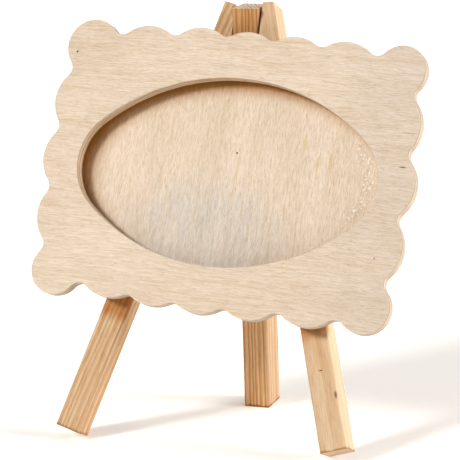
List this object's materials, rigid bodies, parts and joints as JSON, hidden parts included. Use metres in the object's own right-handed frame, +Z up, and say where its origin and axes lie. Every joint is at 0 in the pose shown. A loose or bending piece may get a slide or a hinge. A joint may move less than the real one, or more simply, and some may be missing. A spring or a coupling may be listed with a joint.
{
  "type": "table easel with picture panel",
  "caption": "Small table easel in bare wood: two splayed front legs and a hinged rear leg carry a scalloped plywood picture panel with an oval window.",
  "frame": {"origin": "centre of the footprint box, at the height of the surface it stands on", "axes": "+Z up, +X to the right seen from the front, +Y towards the back"},
  "size_m": [0.1814, 0.0966, 0.1969],
  "materials": {
    "plate_plywood": "bare, sanded",
    "board_plywood": "bare, fine sawn veneer",
    "strip_wood": "bare",
    "pine": "bare, planed",
    "nail_steel": "bright"
  },
  "bodies": {
    "easel_front": {"front_plate": "plate_plywood", "back_board": "board_plywood", "slot_strip_top": "strip_wood", "slot_strip_bottom": "strip_wood", "slot_strip_left": "strip_wood", "left_front_leg": "pine", "right_front_leg": "pine", "pivot_nail": "nail_steel", "panel_pins": "nail_steel"},
    "rear_leg": {"rear_leg": "pine"}
  },
  "joints": [
    {"name": "rear_leg_fold", "type": "hinge", "parent": "easel_front", "child": "rear_leg", "pos_m": [-0.00107, 0.03056, 0.1823], "axis": [-1, 0, 0], "range_deg": [-45, 24.3]}
  ]
}
